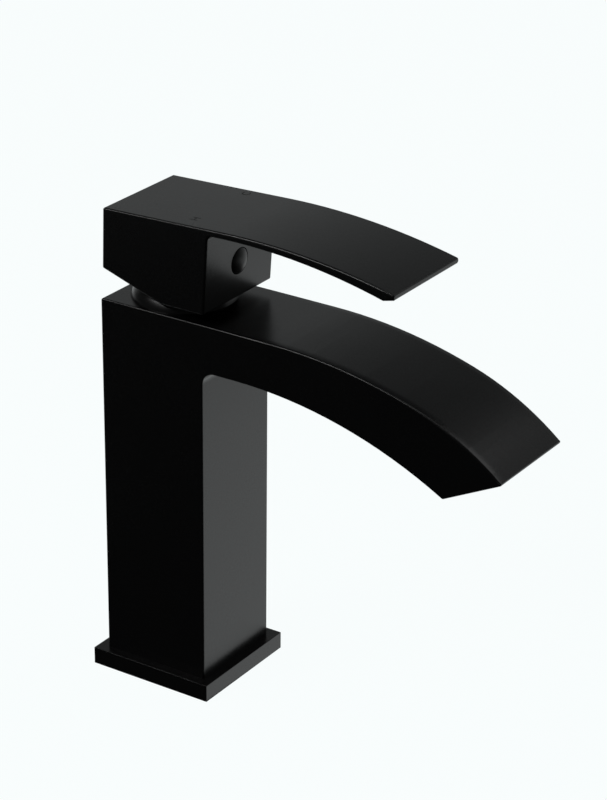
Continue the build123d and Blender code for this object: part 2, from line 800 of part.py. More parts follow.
PIECES = {
    "faucet_body": make_body,
    "base_plate": make_base_plate,
    "base_seal": make_base_seal,
    "cartridge_base": make_cartridge_base,
    "inlet_port_seals": make_inlet_port_seals,
    "disc_gasket": make_disc_gasket,
    "fixed_disc": make_fixed_disc,
    "moving_disc": make_moving_disc,
    "disc_carrier": make_disc_carrier,
    "cartridge_housing": make_cartridge_housing,
    "housing_o_ring": make_housing_o_ring,
    "turning_guide": make_turning_guide,
    "stem_pin": make_stem_pin,
    "cartridge_stem": make_cartridge_stem,
    "limit_ring": make_limit_ring,
    "cartridge_nut": make_cartridge_nut,
    "collar_o_ring": make_collar_o_ring,
    "dome_collar": make_dome_collar,
    "handle": make_handle,
    "handle_screw": make_handle_screw,
    "handle_plug": make_handle_plug,
    "aerator_housing": make_aerator_housing,
    "aerator_seal": make_aerator_seal,
    "aerator_insert": make_aerator_insert,
}

os.makedirs("parts", exist_ok=True)
for name, make in PIECES.items():
    export_step(make(), f"parts/{name}.step")
print("pin height", round(pin_z, 3), "ball reach", round(ball_reach, 3), "stroke", round(2 * half_stroke, 4))
print("tip", [round(t, 2) for t in tip], "outlet", round(outlet_x, 2), round(outlet_z, 2))
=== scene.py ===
# %% [markdown]
# # A satin black basin mixer
# The object is a single-lever mixer for a washbasin: a rectangular pillar with a flat arched spout, a
# square base plate, and a flat lever that lifts and turns over a ceramic cartridge. Its solids are built
# already, at their real size. This lesson gives them their finishes, adds the threads and marks that are
# too fine for the solids, refines the edges that show most, and sets up the studio. The frame comes first,
# because every place below is read from it.

# %% Load the solids
import json
import math

import bmesh
import bpy
from mathutils import Matrix, Vector


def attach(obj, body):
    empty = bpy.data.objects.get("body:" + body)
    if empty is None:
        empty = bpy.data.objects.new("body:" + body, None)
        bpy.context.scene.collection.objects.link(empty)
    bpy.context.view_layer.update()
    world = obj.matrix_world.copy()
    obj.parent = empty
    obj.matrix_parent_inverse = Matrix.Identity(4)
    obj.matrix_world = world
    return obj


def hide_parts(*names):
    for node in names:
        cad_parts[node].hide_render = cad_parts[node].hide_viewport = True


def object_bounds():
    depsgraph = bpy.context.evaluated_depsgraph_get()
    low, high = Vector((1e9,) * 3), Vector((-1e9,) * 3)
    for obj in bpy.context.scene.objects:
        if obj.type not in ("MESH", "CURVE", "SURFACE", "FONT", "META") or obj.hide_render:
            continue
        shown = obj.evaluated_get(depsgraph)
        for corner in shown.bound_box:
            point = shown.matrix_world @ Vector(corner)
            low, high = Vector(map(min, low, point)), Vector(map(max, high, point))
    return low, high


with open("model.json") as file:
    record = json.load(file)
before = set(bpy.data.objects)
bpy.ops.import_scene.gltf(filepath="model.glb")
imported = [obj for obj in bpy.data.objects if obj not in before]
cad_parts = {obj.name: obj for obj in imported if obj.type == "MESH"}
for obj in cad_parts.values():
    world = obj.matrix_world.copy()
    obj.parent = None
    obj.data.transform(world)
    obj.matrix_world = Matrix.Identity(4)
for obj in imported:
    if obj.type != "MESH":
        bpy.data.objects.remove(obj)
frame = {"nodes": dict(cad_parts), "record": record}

nodes = frame["nodes"]
cad_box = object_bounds()
MM = 0.001
print("nodes", len(nodes), "box", [[round(v, 4) for v in corner] for corner in cad_box])

# %% [markdown]
# ## The camera
# The picture is a product shot from the front left and a little above, taken with a long lens. A camera
# can be placed by eye, or by solving for the place from which the straight edges of the pillar, plate and
# lever fall where they do in the picture. The second way was used: the angles, the distance and the
# focal length below come from that fit, and the roll is the small tilt that was left over.

# %% Place the camera
IMAGE_HEIGHT = 800
FOCAL_PIXELS = 2723.8
SENSOR = 36.0
AZIMUTH = math.radians(33.145)
ELEVATION = math.radians(24.42)
ROLL = math.radians(0.605)
TARGET = Vector((50.8, 1.35, 120.2)) * MM
DISTANCE = 973.5 * MM


def view_axes():
    """Right, up and back of the camera, in the part's frame."""
    flat = math.cos(ELEVATION)
    back = Vector((math.sin(AZIMUTH) * flat, -math.cos(AZIMUTH) * flat, math.sin(ELEVATION)))
    right = Vector((math.cos(AZIMUTH), math.sin(AZIMUTH), 0))
    up = back.cross(right)
    rolled = right * math.cos(ROLL) + up * math.sin(ROLL)
    return rolled, up * math.cos(ROLL) - right * math.sin(ROLL), back


camera = bpy.data.objects.new("camera", bpy.data.cameras.new("camera"))
bpy.context.scene.collection.objects.link(camera)
bpy.context.scene.camera = camera
camera.data.sensor_fit = "VERTICAL"
camera.data.sensor_height = SENSOR
camera.data.lens = FOCAL_PIXELS * SENSOR / IMAGE_HEIGHT
right, up, back = view_axes()
turn = Matrix((right, up, back)).transposed().to_4x4()
camera.matrix_world = Matrix.Translation(TARGET + back * DISTANCE) @ turn
print("lens", round(camera.data.lens, 2), "camera at", [round(v, 4) for v in camera.location])

# %% [markdown]
# ## Writing shaders as sums
# A finish is a small recipe: a base colour, a roughness and a bump, each made from noise. Drawn in the
# node editor, such a recipe is a tangle of Math nodes. Here one small class wraps an output socket, so
# that `0.4 + grain * 0.1` adds the nodes by itself, and one method adds any other node.

# %% A sheet of nodes and its wires
class Wire:
    """An output of a node sheet. Arithmetic on wires adds Math nodes to the sheet."""

    def __init__(self, sheet, socket):
        self.sheet = sheet
        self.socket = socket

    def maths(self, operation, first, second):
        return self.sheet.add("ShaderNodeMath", {"operation": operation}, {0: first, 1: second})["Value"]

    def __add__(self, other):
        return self.maths("ADD", self, other)

    def __radd__(self, other):
        return self.maths("ADD", other, self)

    def __sub__(self, other):
        return self.maths("SUBTRACT", self, other)

    def __rsub__(self, other):
        return self.maths("SUBTRACT", other, self)

    def __mul__(self, other):
        return self.maths("MULTIPLY", self, other)

    def __rmul__(self, other):
        return self.maths("MULTIPLY", other, self)


class Sheet:
    """The nodes of one material, or of the world."""

    def __init__(self, owner):
        owner.use_nodes = True
        self.owner = owner
        self.tree = owner.node_tree
        self.tree.nodes.clear()

    def add(self, kind, settings=None, values=None):
        """Adds a node: first its settings, then its sockets. Gives its outputs by name."""
        node = self.tree.nodes.new(kind)
        for name, value in (settings or {}).items():
            setattr(node, name, value)
        for key, value in (values or {}).items():
            if isinstance(value, Wire):
                self.tree.links.new(value.socket, node.inputs[key])
            else:
                node.inputs[key].default_value = value
        return {output.name: Wire(self, output) for output in node.outputs if output.enabled}

    def place(self):
        """Where a point lies on the object."""
        return self.add("ShaderNodeTexCoord")["Object"]

    def noise(self, vector, per_metre, detail=2.0, roughness=0.5):
        values = {"Vector": vector, "Scale": per_metre, "Detail": detail, "Roughness": roughness}
        return self.add("ShaderNodeTexNoise", {}, values)["Fac"]

    def stretched(self, vector, scale):
        return self.add("ShaderNodeMapping", {}, {"Vector": vector, "Scale": scale})["Vector"]

    def mixed(self, factor, dark, light):
        """A colour between two colours."""
        values = {"Factor": factor, "A": dark, "B": light}
        node = self.tree.nodes.new("ShaderNodeMix")
        node.data_type = "RGBA"
        for socket in node.inputs:
            if socket.enabled and socket.name in values:
                value = values[socket.name]
                if isinstance(value, Wire):
                    self.tree.links.new(value.socket, socket)
                else:
                    socket.default_value = value
        return Wire(self, next(output for output in node.outputs if output.enabled))

    def bump(self, height, depth):
        return self.add("ShaderNodeBump", {}, {"Height": height, "Distance": depth})["Normal"]

    def surface(self, values):
        """Ends a material with one Principled shader."""
        shader = self.add("ShaderNodeBsdfPrincipled", {}, values)["BSDF"]
        self.add("ShaderNodeOutputMaterial", {}, {"Surface": shader})
        return self.owner


def grey(value, tint=1.0):
    """A neutral colour with a slightly different blue."""
    return (value, value, value * tint, 1.0)


finishes = {}
print("shader helpers ready")

# %% [markdown]
# ## Satin black coating
# Body, plate, collar and lever are cast brass with a satin black coating, baked on in one film. It is
# nearly black itself: what shows is the soft mirror image of the studio on it, so roughness does most of
# the work. A flat roughness looks like plastic. The film has a fine grain, which breaks up the mirror
# image, and wide clouds where it lies a little thicker and duller.

# %% Make the satin black coating
COAT_CLOUDS = 28.0  # per metre
COAT_GRAINS = 5200.0
COAT_TONES = grey(0.0015, 1.06), grey(0.0025, 1.08)
COAT_ROUGHNESS = 0.27
CLOUD_DULLING = 0.06  # how far the roughness varies with the clouds
GRAIN_DULLING = 0.05
COAT_SPECULAR = 0.345
COAT_GRAIN_DEPTH = 0.001 * MM


def satin_black():
    sheet = Sheet(bpy.data.materials.new("satin_black_coating"))
    place = sheet.place()
    clouds = sheet.noise(place, COAT_CLOUDS, detail=4.0)
    grain = sheet.noise(place, COAT_GRAINS, detail=3.0, roughness=0.65)
    return sheet.surface({
        "Base Color": sheet.mixed(clouds, *COAT_TONES),
        "Roughness": COAT_ROUGHNESS + (clouds - 0.5) * CLOUD_DULLING + (grain - 0.5) * GRAIN_DULLING,
        "Specular IOR Level": COAT_SPECULAR,
        "Normal": sheet.bump(grain, COAT_GRAIN_DEPTH),
    })


finishes["satin_black"] = satin_black()
print("satin black coating", COAT_ROUGHNESS)

# %% [markdown]
# ## Moulded plastics
# The plug over the grub screw, the cartridge's parts and the aerator are injection moulded. Such a
# surface copies its steel mould, with fine spark-eroded pits, and its colour has a faint marbling from
# the masterbatch. One recipe with a colour and a pit size covers them all.

# %% Make the plastics
# Colour, roughness, and pits per metre.
PLASTICS = {
    "black_plastic": ((0.002, 0.002, 0.0021), 0.44, 7000.0),
    "cartridge_plastic": ((0.80, 0.80, 0.76), 0.42, 4000.0),
    "limit_plastic": ((0.55, 0.035, 0.025), 0.40, 4000.0),
    "aerator_plastic": ((0.36, 0.38, 0.39), 0.38, 5000.0),
}
MARBLING = 90.0  # per metre
MARBLING_DARK = 0.88  # how bright its dark streaks are
PIT_DEPTH = 0.004 * MM
PIT_DULLING = 0.12  # how far the roughness varies with the pits


def moulded(name, colour, roughness, pits_per_metre):
    sheet = Sheet(bpy.data.materials.new(name))
    place = sheet.place()
    marbling = sheet.noise(place, MARBLING, detail=5.0, roughness=0.6)
    pits = sheet.noise(place, pits_per_metre, detail=2.0, roughness=0.7)
    deep = (*(MARBLING_DARK * part for part in colour), 1.0)
    return sheet.surface({
        "Base Color": sheet.mixed(marbling, deep, (*colour, 1.0)),
        "Roughness": roughness + (pits - 0.5) * PIT_DULLING,
        "Normal": sheet.bump(pits, PIT_DEPTH),
    })


for name, (colour, roughness, pits) in PLASTICS.items():
    finishes[name] = moulded(name, colour, roughness, pits)
print("plastics", sorted(PLASTICS))

# %% [markdown]
# ## Bare metals
# The ring nut and the stem are turned brass, the pin and the grub screw are ground steel. A lathe leaves
# fine rings round the axis, so the noise is squeezed along Z: it varies quickly up the piece and slowly
# round it.

# %% Make the bare metals
# Dark and light colour of the tool marks, and roughness.
METALS = {
    "brass": ((0.70, 0.50, 0.22), (0.80, 0.60, 0.30), 0.28),
    "stainless_steel": ((0.48, 0.48, 0.49), (0.62, 0.62, 0.63), 0.24),
}
TOOL_MARKS = (60.0, 60.0, 9000.0)  # per metre along X, Y and Z
TOOL_MARK_DEPTH = 0.003 * MM
TOOL_MARK_DULLING = 0.16


def turned_metal(name, dark, light, roughness):
    sheet = Sheet(bpy.data.materials.new(name))
    marks = sheet.noise(sheet.stretched(sheet.place(), TOOL_MARKS), 1.0, detail=3.0, roughness=0.6)
    return sheet.surface({
        "Base Color": sheet.mixed(marks, (*dark, 1.0), (*light, 1.0)),
        "Metallic": 1.0,
        "Roughness": roughness + (marks - 0.5) * TOOL_MARK_DULLING,
        "Normal": sheet.bump(marks, TOOL_MARK_DEPTH),
    })


for name, (dark, light, roughness) in METALS.items():
    finishes[name] = turned_metal(name, dark, light, roughness)
print("metals", sorted(METALS))

# %% [markdown]
# ## Ceramic and rubber
# The two discs are lapped alumina: warm white, with a dense fine speckle, and so flat that water cannot
# pass between them. The seals are nitrile rubber, dull black with a bloom of paler powder on it.

# %% Make the ceramic and the rubber
SPECKLES = 2600.0  # per metre
SPECKLE_TONES = (0.76, 0.74, 0.69, 1.0), (0.88, 0.87, 0.84, 1.0)
SPECKLE_ROUGHNESS = (0.16, 0.12)  # the least, and how far it rises with the speckle
BLOOM = 160.0
BLOOM_TONES = grey(0.012), grey(0.032)
BLOOM_ROUGHNESS = (0.55, 0.30)
BLOOM_DEPTH = 0.005 * MM


def lapped_ceramic():
    sheet = Sheet(bpy.data.materials.new("lapped_ceramic"))
    speckle = sheet.noise(sheet.place(), SPECKLES, detail=4.0, roughness=0.7)
    return sheet.surface({
        "Base Color": sheet.mixed(speckle, *SPECKLE_TONES),
        "Roughness": SPECKLE_ROUGHNESS[0] + speckle * SPECKLE_ROUGHNESS[1],
    })


def seal_rubber():
    sheet = Sheet(bpy.data.materials.new("seal_rubber"))
    bloom = sheet.noise(sheet.place(), BLOOM, detail=6.0, roughness=0.7)
    return sheet.surface({
        "Base Color": sheet.mixed(bloom, *BLOOM_TONES),
        "Roughness": BLOOM_ROUGHNESS[0] + bloom * BLOOM_ROUGHNESS[1],
        "Normal": sheet.bump(bloom, BLOOM_DEPTH),
    })


finishes["ceramic"] = lapped_ceramic()
finishes["rubber"] = seal_rubber()
print("finishes", sorted(finishes))

# %% [markdown]
# ## Giving each node its finish
# The record says which slot each node takes its finish from, so the finishes are handed out by that list
# and no node can be forgotten.

# %% Assign the finishes
for row in frame["record"]["subparts"]:
    mesh = nodes[row["node"]].data
    mesh.materials.clear()
    mesh.materials.append(finishes[row["material_slot"]])

# %% [markdown]
# ## Threads in the foot
# Two hoses and a stud screw into the pillar's foot from below. Each hole has a thread, which the solids
# leave out. A thread is one ridge wound along a helix, and that is a rule, so Geometry Nodes make it: a
# spiral curve carries a small three-sided profile. The ridge stands on the wall of the hole, and its
# turns end inside the mouth.

# %% Build the thread's node tree
THREAD_SIZES = ("Radius", "Pitch", "Turns", "Depth")
THREAD_STEPS = 40  # points in a turn
THREAD_SIDES = 3  # of the profile


def thread_tree(finish):
    tree = bpy.data.node_groups.new("thread", "GeometryNodeTree")
    for name in THREAD_SIZES:
        tree.interface.new_socket(name=name, in_out="INPUT", socket_type="NodeSocketFloat")
    tree.interface.new_socket(name="Geometry", in_out="OUTPUT", socket_type="NodeSocketGeometry")
    start = tree.nodes.new("NodeGroupInput")
    end = tree.nodes.new("NodeGroupOutput")
    height = tree.nodes.new("ShaderNodeMath")
    height.operation = "MULTIPLY"
    spiral = tree.nodes.new("GeometryNodeCurveSpiral")
    spiral.inputs["Resolution"].default_value = THREAD_STEPS
    profile = tree.nodes.new("GeometryNodeCurvePrimitiveCircle")
    profile.mode = "RADIUS"
    profile.inputs["Resolution"].default_value = THREAD_SIDES
    sweep = tree.nodes.new("GeometryNodeCurveToMesh")
    sweep.inputs["Fill Caps"].default_value = True
    realize = tree.nodes.new("GeometryNodeRealizeInstances")
    paint = tree.nodes.new("GeometryNodeSetMaterial")
    paint.inputs["Material"].default_value = finish
    links = [
        (start.outputs["Pitch"], height.inputs[0]),
        (start.outputs["Turns"], height.inputs[1]),
        (height.outputs["Value"], spiral.inputs["Height"]),
        (start.outputs["Turns"], spiral.inputs["Rotations"]),
        (start.outputs["Radius"], spiral.inputs["Start Radius"]),
        (start.outputs["Radius"], spiral.inputs["End Radius"]),
        (start.outputs["Depth"], profile.inputs["Radius"]),
        (spiral.outputs["Curve"], sweep.inputs["Curve"]),
        (profile.outputs["Curve"], sweep.inputs["Profile Curve"]),
        (sweep.outputs["Mesh"], realize.inputs["Geometry"]),
        (realize.outputs["Geometry"], paint.inputs["Geometry"]),
        (paint.outputs["Geometry"], end.inputs["Geometry"]),
    ]
    for source, target in links:
        tree.links.new(source, target)
    return tree


threads = thread_tree(finishes["brass"])
print("thread tree with", len(threads.nodes), "nodes")

# %% Wind the threads
THREAD_LEAD = 1.2 * MM  # plain wall left at the mouth
THREAD_PITCH = {"inlet_hot": 1.0 * MM, "inlet_cold": 1.0 * MM, "stud_hole": 1.25 * MM}
THREAD_SHARE = 0.36  # ridge radius as a share of the pitch


def plain_mesh(worker, name, place):
    """A plain mesh object with what the worker's modifiers make, moved to its place."""
    graph = bpy.context.evaluated_depsgraph_get()
    mesh = bpy.data.meshes.new_from_object(worker.evaluated_get(graph))
    bpy.data.objects.remove(worker)
    mesh.transform(place)
    piece = bpy.data.objects.new(name, mesh)
    bpy.context.scene.collection.objects.link(piece)
    return piece


def wind_thread(mount):
    pitch = THREAD_PITCH[mount["name"]]
    length = mount["dims"]["length_mm"] * MM - 2 * THREAD_LEAD
    sizes = {
        "Radius": mount["dims"]["r_mm"] * MM,
        "Pitch": pitch,
        "Turns": length / pitch,
        "Depth": pitch * THREAD_SHARE,
    }
    worker = bpy.data.objects.new("thread_worker", bpy.data.meshes.new("thread_worker"))
    bpy.context.scene.collection.objects.link(worker)
    modifier = worker.modifiers.new("thread", "NODES")
    modifier.node_group = threads
    for item in threads.interface.items_tree:
        if item.in_out == "INPUT":
            modifier[item.identifier] = sizes[item.name]
    foot = Vector(mount["pos_m"]) + Vector((0, 0, THREAD_LEAD))
    piece = plain_mesh(worker, mount["name"] + "_thread", Matrix.Translation(foot))
    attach(piece, "body")
    return piece


for mount in frame["record"]["mounts"]:
    if mount["name"] in THREAD_PITCH:
        piece = wind_thread(mount)
        print(piece.name, len(piece.data.polygons), "faces")

# %% [markdown]
# ## Hot and cold marks
# The lever turns to one side for hot water and to the other for cold, and two tiny etched letters on its
# top say which. They are dark on dark and hardly show. Text objects would not follow the lever's arch, so
# they are made into meshes first and then each point is dropped onto the lever's own top.

# %% Etch the marks
MARK_HEIGHT = 3.2 * MM
CAPITAL_SHARE = 0.7  # height of a capital as a share of the font's size
MARK_LIFT = 0.015 * MM  # an etched mark is as good as flush
MARKS = {"hot_mark": ("H", -13.9 * MM), "cold_mark": ("C", 17.2 * MM)}
MARK_X = 15.0 * MM
MARK_TONES = grey(0.004), grey(0.006)
MARK_ROUGHNESS = (0.62, 0.10)
DOWN = Vector((0, 0, -1))


def etched_finish():
    sheet = Sheet(bpy.data.materials.new("etched_mark"))
    grain = sheet.noise(sheet.place(), COAT_GRAINS, detail=2.0)
    return sheet.surface({
        "Base Color": sheet.mixed(grain, *MARK_TONES),
        "Roughness": MARK_ROUGHNESS[0] + grain * MARK_ROUGHNESS[1],
    })


def top_of_lever(x, y):
    """Height of the handle's top under a point."""
    origin = Vector((x, y, cad_box[1][2] + MARK_HEIGHT))
    place = nodes["handle"].ray_cast(origin, DOWN)[1]
    return place.z


def etch(name, letter, y, finish):
    curve = bpy.data.curves.new(name, "FONT")
    curve.body = letter
    curve.size = MARK_HEIGHT / CAPITAL_SHARE
    curve.align_x = "CENTER"
    curve.align_y = "CENTER"
    worker = bpy.data.objects.new(name + "_worker", curve)
    bpy.context.scene.collection.objects.link(worker)
    facing = Matrix.Translation((MARK_X, y, 0)) @ Matrix.Rotation(math.radians(90), 4, "Z")
    piece = plain_mesh(worker, name, facing)
    for vertex in piece.data.vertices:
        vertex.co.z = top_of_lever(vertex.co.x, vertex.co.y) + MARK_LIFT
    piece.data.materials.clear()
    piece.data.materials.append(finish)
    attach(piece, "lever")
    return piece


etched = etched_finish()
bpy.context.view_layer.update()  # the rays need it
for name, (letter, y) in MARKS.items():
    print(etch(name, letter, y, etched).name)

# %% [markdown]
# ## Refined copies
# On a black coating, most of what shows is the light along the edges, and a few edges of the real thing
# differ from the solids by a fraction of a millimetre. A node's own mesh is never changed, so a refined
# copy takes its place. A bevel would fail here, because the solids' edges are rounded already. Instead the
# points of the rounds are moved. The mesh is loose triangles, so its points are joined first. At the end,
# flat areas become single faces and the normals are weighted by area, which keeps a flat even up to its
# rounds.

# %% Take a copy and put it back
WELD = 0.0005 * MM
FLAT_ANGLE = math.radians(0.3)
SHARP_ANGLE = math.radians(35)


def merged_copy(node):
    """A node's mesh with its loose triangles joined."""
    shape = bmesh.new()
    shape.from_mesh(nodes[node].data)
    bmesh.ops.remove_doubles(shape, verts=shape.verts, dist=WELD)
    shape.normal_update()
    return shape


def in_place_of(node, body, shape, name):
    """Puts a refined copy in a node's place."""
    bmesh.ops.dissolve_limit(shape, angle_limit=FLAT_ANGLE, verts=shape.verts, edges=shape.edges)
    for face in shape.faces:
        face.smooth = True
    for edge in shape.edges:
        edge.smooth = edge.calc_face_angle(0.0) < SHARP_ANGLE
    bmesh.ops.triangulate(shape, faces=[face for face in shape.faces if len(face.verts) > 4])
    mesh = bpy.data.meshes.new(name + "_worker")
    shape.to_mesh(mesh)
    shape.free()
    worker = bpy.data.objects.new(name + "_worker", mesh)
    bpy.context.scene.collection.objects.link(worker)
    worker.modifiers.new("even_normals", "WEIGHTED_NORMAL").keep_sharp = True
    piece = plain_mesh(worker, name, Matrix.Identity(4))
    piece.data.materials.clear()
    piece.data.materials.append(finishes["satin_black"])
    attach(piece, body)
    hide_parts(node)
    print(piece.name, len(piece.data.polygons), "faces")


print("copies join points within", WELD / MM, "mm")

# %% [markdown]
# ## The lever's polished edges
# The lever is the piece that a hand touches, so its long edges are polished rounder than those of the body.
# In a round of radius r that becomes R, a point keeps its normal. It moves in by R - r from both sides that
# the round joins, and back out by R - r along its normal.

# %% Round the lever's edges
EDGE_ROUND = 0.6 * MM  # of the solid
EDGE_ROUNDER = 0.2 * MM  # how much more the polished edges have
CORNER_WELD = 0.03 * MM


def polish_edges(shape):
    """Makes the rounds along both sides of the lever larger."""
    half_width = max(vertex.co.y for vertex in shape.verts)
    moves = {}
    for vertex in shape.verts:
        sine = (abs(vertex.co.y) - half_width) / EDGE_ROUND + 1
        if sine > -WELD / EDGE_ROUND:
            sine = min(max(sine, 0.0), 1.0)
            outward = Vector((vertex.normal.x, 0, vertex.normal.z)).normalized()
            sideways = Vector((0, math.copysign(1 - sine, vertex.co.y), 0))
            moves[vertex] = -EDGE_ROUNDER * (sideways + outward * (1 - math.sqrt(1 - sine * sine)))
    for vertex, move in moves.items():
        vertex.co += move
    flanks = [vertex for vertex in shape.verts if abs(vertex.co.y) > half_width - WELD]
    bmesh.ops.remove_doubles(shape, verts=flanks, dist=CORNER_WELD)


lever = merged_copy("handle")
polish_edges(lever)
print("lever's edges", round((EDGE_ROUND + EDGE_ROUNDER) / MM, 2), "mm")

# %% [markdown]
# ## The lever's ground end
# The lever's end is ground off upright, which leaves a low end face that catches the light. The solid runs
# out to a thin lip there. First the corner under the end is set back and the lip's underside goes down, so
# that the end face gets its height. Then the lip is cut off, and the last half millimetre is drawn in along
# a quarter circle. A few cuts across the lever give it the points for that.

# %% Grind the lever's end
END_X = 101.13 * MM
END_ROUND = 0.5 * MM
END_STEPS = 6
CHIN_FROM = Vector((97.3, 0, 0)) * MM  # corner under the end: everything between these two
CHIN_TO = Vector((98.4, 0, 178.0)) * MM
CHIN_BACK = Vector((-1.1, 0, 0.27)) * MM
LIP_HEIGHTS = (178.15 * MM, 178.85 * MM)  # underside of the lip, and its middle
LIP_DOWN = 0.35 * MM


def cut_across(shape, x, take_off):
    """Cuts a shape upright across the lever, and takes off what lies beyond. Gives the edges of the cut."""
    everything = shape.verts[:] + shape.edges[:] + shape.faces[:]
    plane = {"plane_co": (x, 0, 0), "plane_no": (1, 0, 0)}
    cut = bmesh.ops.bisect_plane(shape, geom=everything, dist=WELD, clear_outer=take_off, **plane)
    return [part for part in cut["geom_cut"] if isinstance(part, bmesh.types.BMEdge)]


def section(edges):
    """Lowest and highest point of a cut, and half its width."""
    points = [vertex.co for edge in edges for vertex in edge.verts]
    heights = [point.z for point in points]
    return min(heights), max(heights), max(point.y for point in points)


def shape_chin(shape):
    """Moves the corner under the lever's end back along the underside, and the lip's underside down."""
    low, middle = LIP_HEIGHTS
    for vertex in shape.verts:
        if CHIN_FROM.x < vertex.co.x < CHIN_TO.x and vertex.co.z < CHIN_TO.z:
            vertex.co += CHIN_BACK
        elif vertex.co.x > END_X:
            vertex.co.z -= LIP_DOWN * min(max((middle - vertex.co.z) / (middle - low), 0.0), 1.0)


def draw_in(shape, inner, outer):
    """Narrows the shape from the inner to the outer section along a quarter circle."""
    start = END_X - END_ROUND
    for vertex in shape.verts:
        share = (vertex.co.x - start) / END_ROUND
        if share > 0:
            inset = END_ROUND * (1 - math.sqrt(max(0.0, 1 - share * share)))
            low, high, half_width = (a + (b - a) * share for a, b in zip(inner, outer))
            middle = (low + high) / 2
            vertex.co.z = middle + (vertex.co.z - middle) * (1 - 2 * inset / (high - low))
            vertex.co.y *= 1 - inset / half_width


def grind_end(shape):
    shape_chin(shape)
    inner = section(cut_across(shape, END_X - END_ROUND, False))
    for step in range(1, END_STEPS):
        share = math.sin(math.radians(90 * step / END_STEPS))
        cut_across(shape, END_X - END_ROUND * (1 - share), False)
    rim = cut_across(shape, END_X, True)
    outer = section(rim)
    bmesh.ops.edgeloop_fill(shape, edges=rim)
    draw_in(shape, inner, outer)


grind_end(lever)
in_place_of("handle", "lever", lever, "ground_lever")

# %% [markdown]
# ## The plate's crisp edges
# The plate at the foot is the opposite. Its edges are crisp and catch no light. The same rule works the
# other way round, here for the edges and corners of a box: a point of a round moves out by r - R towards
# each side that the round leads to, and back by r - R along its normal.

# %% Sharpen the plate's edges
CRISP_ROUND = 0.15 * MM


def sharpen_edges(shape):
    """Makes the rounds of a box smaller."""
    points = [vertex.co.copy() for vertex in shape.verts]
    low = Vector(min(point[i] for point in points) for i in range(3))
    high = Vector(max(point[i] for point in points) for i in range(3))
    low.z -= 2 * EDGE_ROUND  # the underside has no round, so it stays out of reach
    reach = EDGE_ROUND + WELD
    for vertex, point in zip(shape.verts, points):
        sides = Vector((point[i] > high[i] - reach) - (point[i] < low[i] + reach) for i in range(3))
        centre = Vector(min(max(point[i], low[i] + EDGE_ROUND), high[i] - EDGE_ROUND) for i in range(3))
        vertex.co += (EDGE_ROUND - CRISP_ROUND) * (sides - (point - centre).normalized())


plate = merged_copy("base_plate")
sharpen_edges(plate)
in_place_of("base_plate", "body", plate, "crisp_plate")

# %% [markdown]
# ## The spout's eased edges
# Polishing takes a little off the spout's arched top towards its long edges. It is only a fifth of a
# millimetre over three or four, but on the black coating it draws a soft band along the edge, dark
# where the arch starts and light towards the end. The top is one strip from side to side, so it is first
# cut lengthwise and across, and then its points sink by the square of their distance into the band.

# %% Ease the spout's edges
EASE_WIDTH = 3.4 * MM
EASE_DEPTH = 0.19 * MM
EASE_CUTS = 8
EASE_ALONG = (24.0 * MM, 60.0 * MM)  # where it starts, and where it is full
EASE_STEP = 6.0 * MM
EASE_TURN = (0.40, 0.75)  # rise of the normal where it ends and where it is full, round the tip
TOP_SKIN = 0.9 * MM  # how far below the top a point may lie to belong to it


def eased_share(value, low, high):
    """0 below low, 1 above high, smooth between."""
    share = min(max((value - low) / (high - low), 0.0), 1.0)
    return share * share * (3 - 2 * share)


def near_top(point):
    """Whether a point lies on the spout's top or in the rounds along it."""
    origin = Vector((max(point.x, EASE_ALONG[0]), 0, cad_box[1][2]))
    hit, place = nodes["faucet_body"].ray_cast(origin, DOWN)[:2]
    return hit and place.z - point.z < TOP_SKIN


def cut_band(shape, half_width):
    """Cuts the top of the body lengthwise in both bands, and across where its faces are long."""
    faces = [face for face in shape.faces if all(near_top(vertex.co) for vertex in face.verts)]
    parts = dict.fromkeys(faces)  # each part once, in the same order at each run
    for face in faces:
        parts.update(dict.fromkeys([*face.edges, *face.verts]))
    cuts = []
    for step in range(EASE_CUTS):
        inset = EDGE_ROUND + (EASE_WIDTH - EDGE_ROUND) * (step + 1) / EASE_CUTS
        cuts += [((0, side * (half_width - inset), 0), (0, 1, 0)) for side in (-1, 1)]
    across = EASE_ALONG[0]
    while across < EASE_ALONG[1]:
        cuts.append(((across, 0, 0), (1, 0, 0)))
        across += EASE_STEP
    parts = list(parts)
    for place, normal in cuts:
        plane = {"plane_co": place, "plane_no": normal}
        parts = bmesh.ops.bisect_plane(shape, geom=parts, dist=WELD, **plane)["geom"]


def ease_edges(shape):
    """Sinks both bands along the top of the spout."""
    half_width = max(vertex.co.y for vertex in shape.verts)
    cut_band(shape, half_width)
    shape.normal_update()
    moves = {}
    for vertex in shape.verts:
        into = 1 - (half_width - abs(vertex.co.y)) / EASE_WIDTH
        if into > 0 and vertex.co.x > EASE_ALONG[0] and near_top(vertex.co):
            outward = Vector((vertex.normal.x, 0, vertex.normal.z)).normalized()
            share = eased_share(vertex.co.x, *EASE_ALONG) * eased_share(outward.z, *EASE_TURN)
            moves[vertex] = outward * (-EASE_DEPTH * into * into * share)
    for vertex, move in moves.items():
        vertex.co += move


body = merged_copy("faucet_body")
ease_edges(body)
in_place_of("faucet_body", "body", body, "eased_body")

# %% [markdown]
# ## The studio's floor
# The picture has a white ground with no horizon. The front of the pillar mirrors the white floor, and the
# side towards the camera is nearly black. So two black cards lie on the floor on that side. Each is a
# sector that starts at the foot, and the first one ends some way off. Away from the object the floor's glow
# is a little dimmer: a painted pool of light, brightest round the foot. The cards could be planes of their
# own, but then they would show. So all of this is one rule in the glow of the floor's material, by
# direction and distance, and camera rays see plain white everywhere.

# %% Measure directions and distances
def eased(sheet, value, low, high):
    """0 below low, 1 above high, smooth between."""
    settings = {"interpolation_type": "SMOOTHSTEP"}
    values = {"Value": value, "From Min": low, "From Max": high}
    return sheet.add("ShaderNodeMapRange", settings, values)["Result"]


